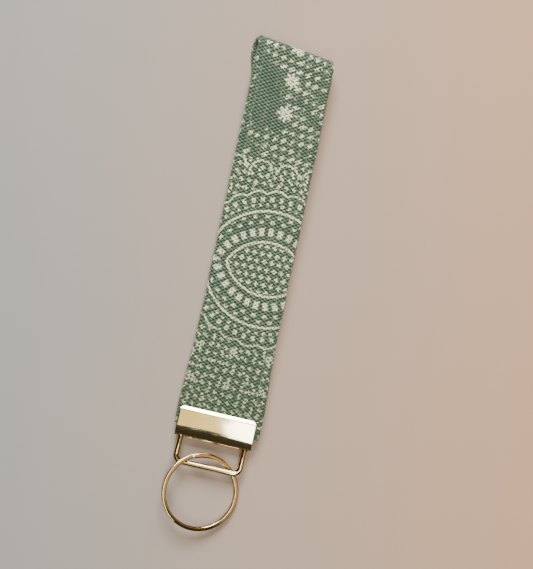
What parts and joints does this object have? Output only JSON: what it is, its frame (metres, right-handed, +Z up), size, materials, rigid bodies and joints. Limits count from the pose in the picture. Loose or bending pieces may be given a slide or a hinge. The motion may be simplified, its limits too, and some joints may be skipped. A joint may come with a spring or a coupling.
{
  "type": "wristlet keychain",
  "caption": "Flat fabric wrist strap folded into a loop, its ends crimped in a metal clamp that holds a swinging wire bail and a split ring for keys.",
  "frame": {"origin": "centre of the whole object's footprint on the resting surface", "axes": "+Y along the strap towards the fold, -Y towards the split ring, +Z up from the resting surface, X across the strap"},
  "size_m": [0.0262, 0.162, 0.0086],
  "materials": {
    "canvas": "coarse plain weave canvas, sage teal with a cream print",
    "webbing": "undyed cotton webbing",
    "thread": "matching polyester sewing thread",
    "clamp_plate": "polished nickel plate",
    "bail_wire": "polished nickel-plated wire",
    "ring_wire": "polished nickel-plated flat spring wire"
  },
  "bodies": {
    "strap": {"strap_cover": "canvas", "webbing_core": "webbing", "needle_thread_left": "thread", "needle_thread_right": "thread", "bobbin_thread_left": "thread", "bobbin_thread_right": "thread", "clamp": "clamp_plate"},
    "bail": {"bail": "bail_wire"},
    "split_ring": {"split_ring": "ring_wire"}
  },
  "joints": [
    {"name": "bail_swing", "type": "hinge", "parent": "strap", "child": "bail", "pos_m": [0, -0.05055, 0.00285], "axis": [1, 0, 0], "range_deg": [-5, 95]},
    {"name": "ring_swing", "type": "hinge", "parent": "bail", "child": "split_ring", "pos_m": [0, -0.06007, 0.00407], "axis": [1, 0, 0], "range_deg": [-85, 85]}
  ]
}
